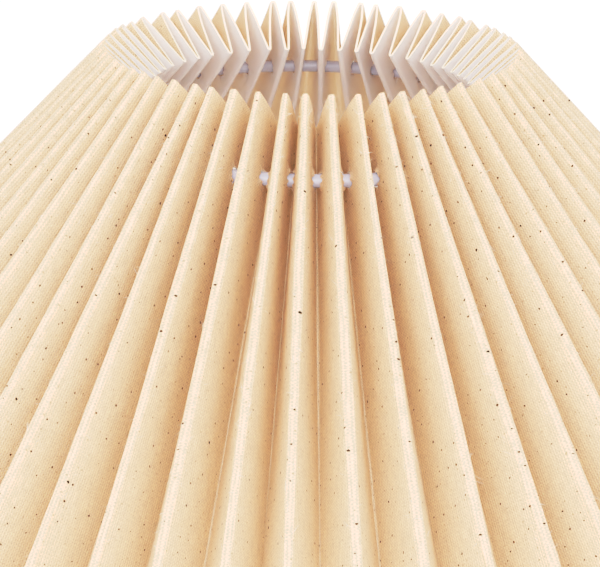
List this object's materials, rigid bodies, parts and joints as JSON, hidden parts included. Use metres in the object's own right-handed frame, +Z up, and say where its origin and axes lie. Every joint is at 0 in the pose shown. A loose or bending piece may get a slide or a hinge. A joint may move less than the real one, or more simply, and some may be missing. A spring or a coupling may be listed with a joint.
{
  "type": "lamp shade",
  "caption": "Cone-shaped lamp shade of pleated fabric on a film liner, gathered on a tube hoop threaded through its folds, with a three-arm wire carrier for a lampholder.",
  "frame": {"origin": "centre of the lampholder hole, on the underside of the fitter washer, the face that sits on the lampholder", "axes": "+Z up along the shade's axis, towards the narrow end; -Y is the front"},
  "size_m": [0.4009, 0.4006, 0.1521],
  "materials": {
    "shade_fabric": "natural woven cotton and linen with dark seed flecks",
    "liner_film": "white translucent film, satin",
    "seam_tape": "translucent double-sided tape",
    "hoop_tube": "milky translucent tube",
    "hoop_wire": "bright drawn wire",
    "hoop_sleeve": "crimped",
    "carrier_steel": "white powder coat",
    "weld": "powder coat over weld"
  },
  "bodies": {
    "root": {"fabric_panel_back": "shade_fabric", "fabric_panel_front": "shade_fabric", "liner_panel_back": "liner_film", "liner_panel_front": "liner_film", "seam_tape_right": "seam_tape", "seam_tape_left": "seam_tape", "hoop_tube": "hoop_tube", "hoop_wire": "hoop_wire", "hoop_sleeve": "hoop_sleeve", "fitter_washer": "carrier_steel", "carrier_arm_front": "carrier_steel", "carrier_arm_right": "carrier_steel", "carrier_arm_left": "carrier_steel", "weld_beads": "weld"}
  },
  "joints": []
}
